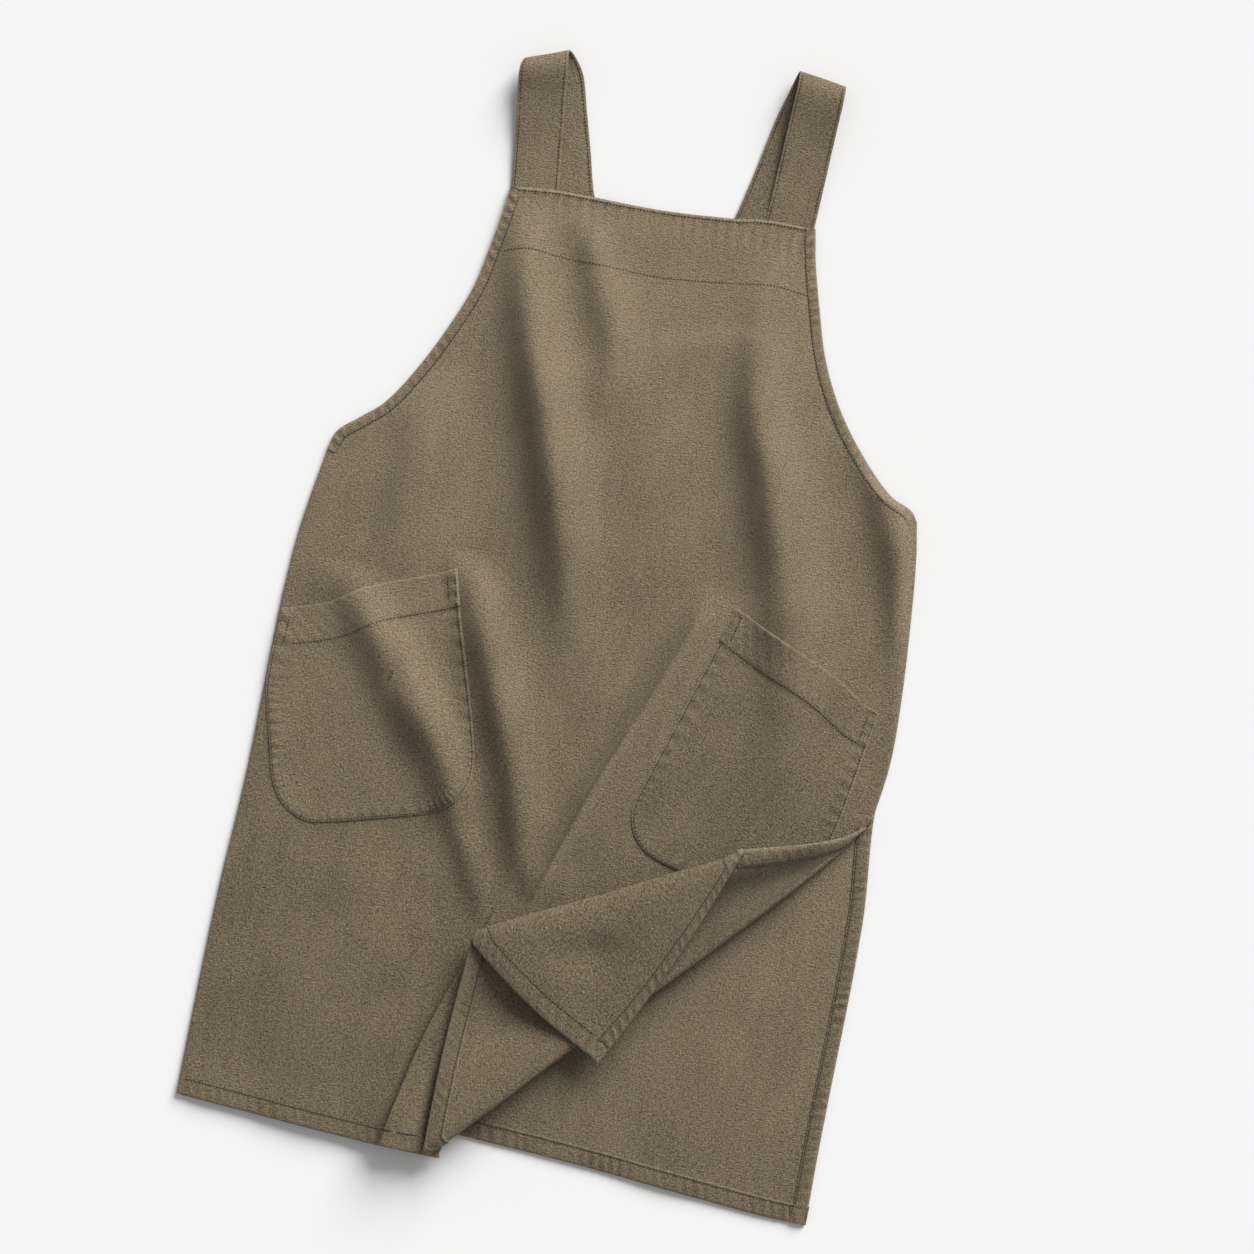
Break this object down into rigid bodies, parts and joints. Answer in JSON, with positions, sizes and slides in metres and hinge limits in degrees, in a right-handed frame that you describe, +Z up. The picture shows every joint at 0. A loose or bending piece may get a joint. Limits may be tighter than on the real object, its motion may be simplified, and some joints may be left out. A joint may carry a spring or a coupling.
{
  "type": "apron",
  "caption": "Cross-back canvas apron laid flat, front up, with looped straps, patch pockets and a lower corner folded over twice.",
  "frame": {"origin": "centre of the bounding box in plan, on the surface that the apron lies on", "axes": "+Y from the hem to the bib along the apron's length, +X across it to the wearer's left side, which is to the right of someone looking at its front, +Z up out of the front"},
  "size_m": [0.5786, 1.0161, 0.0384],
  "materials": {
    "canvas": "washed taupe linen and cotton canvas in plain weave, matt, paler and puckered along its seams",
    "sewing_thread": "matt spun polyester thread, a little darker than the canvas"
  },
  "bodies": {
    "root": {"front_panel": "canvas", "back_panel": "canvas", "bib_facing": "canvas", "left_armhole_facing": "canvas", "right_armhole_facing": "canvas", "back_top_facing": "canvas", "left_strap": "canvas", "right_strap": "canvas", "left_pocket": "canvas", "right_pocket": "canvas", "bib_top_stitching": "sewing_thread", "bib_facing_stitching": "sewing_thread", "left_armhole_stitching": "sewing_thread", "right_armhole_stitching": "sewing_thread", "front_hem_stitching": "sewing_thread", "front_slit_stitching": "sewing_thread", "back_hem_stitching": "sewing_thread", "back_slit_stitching": "sewing_thread", "back_top_stitching": "sewing_thread", "left_pocket_stitching": "sewing_thread", "right_pocket_stitching": "sewing_thread", "left_pocket_mouth_stitching": "sewing_thread", "right_pocket_mouth_stitching": "sewing_thread", "left_strap_stitching": "sewing_thread", "right_strap_stitching": "sewing_thread", "left_side_seam_stitching": "sewing_thread", "right_side_seam_stitching": "sewing_thread"}
  },
  "joints": []
}
